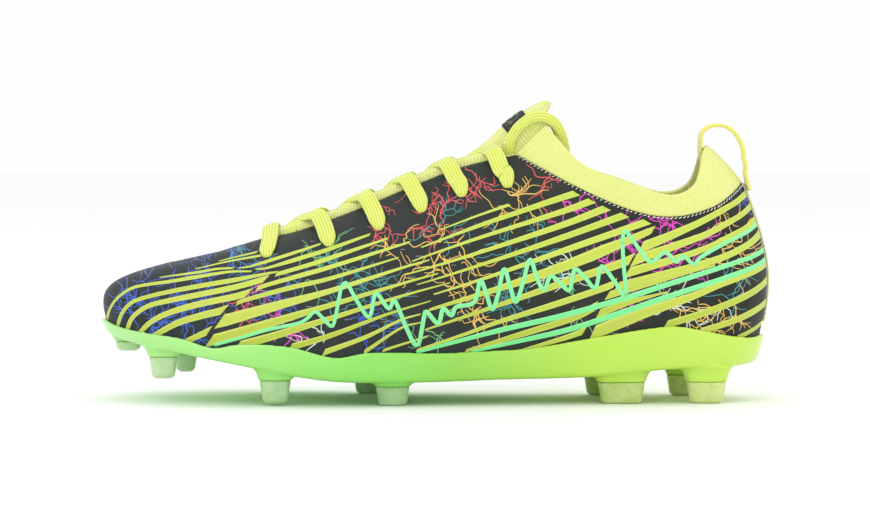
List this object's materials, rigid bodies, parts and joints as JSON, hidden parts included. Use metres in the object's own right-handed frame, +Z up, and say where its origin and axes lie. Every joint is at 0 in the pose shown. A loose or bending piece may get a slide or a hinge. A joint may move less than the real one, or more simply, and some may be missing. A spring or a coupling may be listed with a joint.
{
  "type": "soccer cleat",
  "caption": "Low-cut firm-ground soccer cleat, left shoe: striped dark knit upper over a lime stud plate, with a pale yellow knit collar, flat lace and heel pull loop.",
  "frame": {"origin": "On the ground, centred under the shoe's length and width", "axes": "+X points to the heel, +Y to the medial side, +Z up"},
  "size_m": [0.2816, 0.0914, 0.1263],
  "materials": {
    "plate": "moulded plate, green at the toe to lime at the heel",
    "stud_tip": "frosted translucent moulded tips",
    "skin": "dark coated knit with printed lime stripes",
    "lining": "dark woven lining",
    "stiffener": "moulded stiffener sheet",
    "padding": "foam padding",
    "knit": "pale yellow rib knit",
    "webbing": "yellow woven webbing",
    "lace": "flat woven lace",
    "aglet": "clear film tips",
    "label": "black woven label",
    "board": "fibre lasting board",
    "foam": "moulded foam footbed"
  },
  "bodies": {
    "shoe": {"outsole_plate": "plate", "insole_board": "board", "sockliner_foam": "foam", "sockliner_cover": "lining", "upper_skin": "skin", "upper_lining": "lining", "toe_puff": "stiffener", "heel_counter": "stiffener", "eyestay_facing_lateral": "lining", "eyestay_facing_medial": "lining", "ankle_pad_lateral": "padding", "ankle_pad_medial": "padding", "collar_knit": "knit", "heel_strip": "webbing", "heel_loop_anchor": "webbing", "tongue": "knit", "lace": "lace", "lace_tail_lateral": "lace", "lace_tail_medial": "lace", "aglet_lateral": "aglet", "aglet_medial": "aglet", "stud_tip_lateral_1": "stud_tip", "stud_tip_lateral_2": "stud_tip", "stud_tip_lateral_3": "stud_tip", "stud_tip_lateral_4": "stud_tip", "stud_tip_lateral_5": "stud_tip", "stud_tip_medial_1": "stud_tip", "stud_tip_medial_2": "stud_tip", "stud_tip_medial_3": "stud_tip", "stud_tip_medial_4": "stud_tip", "stud_tip_medial_5": "stud_tip", "stud_tip_medial_6": "stud_tip"},
    "heel_loop": {"heel_pull_loop": "webbing"},
    "tongue_flap": {"tongue_top": "knit", "tongue_label": "label"}
  },
  "joints": [
    {"name": "heel_loop_tilt", "type": "hinge", "parent": "shoe", "child": "heel_loop", "pos_m": [0.1117, 0, 0.109], "axis": [0.8934, 0, -0.4492], "range_deg": [-30, 30], "stiffness_Nm_per_rad": 0.01},
    {"name": "tongue_flex", "type": "hinge", "parent": "shoe", "child": "tongue_flap", "pos_m": [0.0258, 0, 0.1075], "axis": [0, 1, 0], "range_deg": [-18, 22], "stiffness_Nm_per_rad": 0.02}
  ]
}
